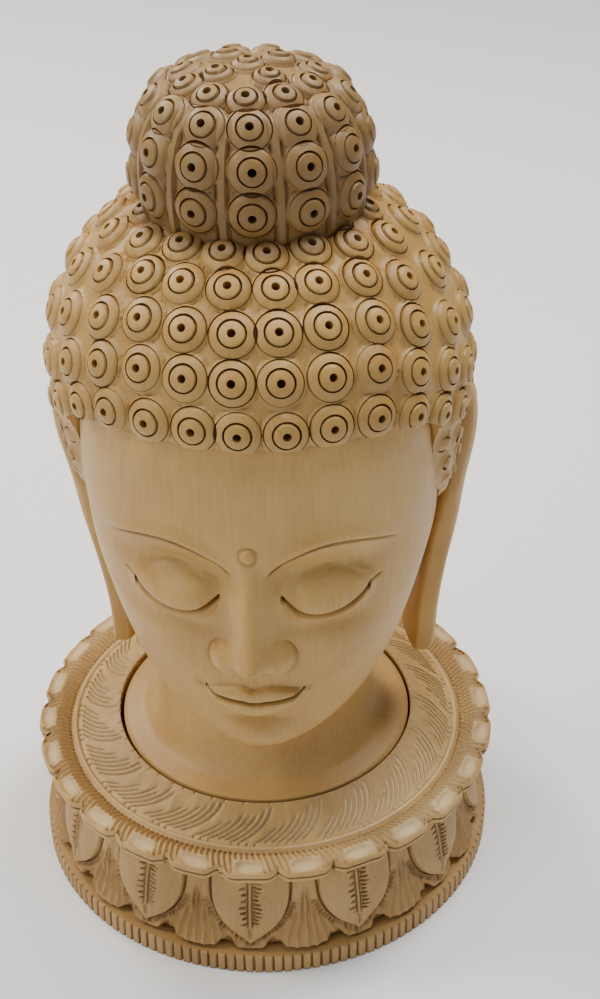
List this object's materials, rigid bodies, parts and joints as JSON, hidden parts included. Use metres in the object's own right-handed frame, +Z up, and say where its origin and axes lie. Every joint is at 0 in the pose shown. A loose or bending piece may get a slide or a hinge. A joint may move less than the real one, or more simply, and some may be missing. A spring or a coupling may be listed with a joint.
{
  "type": "carved head sculpture on a lotus stand",
  "caption": "Carved wooden head with rows of snail-shell curls, a domed topknot and long ears, standing by its round neck foot in a recess of a separate turned and carved lotus stand.",
  "frame": {"origin": "centre of the lotus stand's flat underside", "axes": "+Z up along the stand's turned axis to the topknot; the face looks along -Y; +X is to the right of someone facing the face"},
  "size_m": [0.11, 0.1101, 0.1962],
  "materials": {
    "head_wood": "fine sanded bare whitewood, matt to faintly satin",
    "stand_wood": "bare whitewood, turned and carved, left a little rougher"
  },
  "bodies": {
    "root": {"head": "head_wood", "lotus_stand": "stand_wood"}
  },
  "joints": []
}
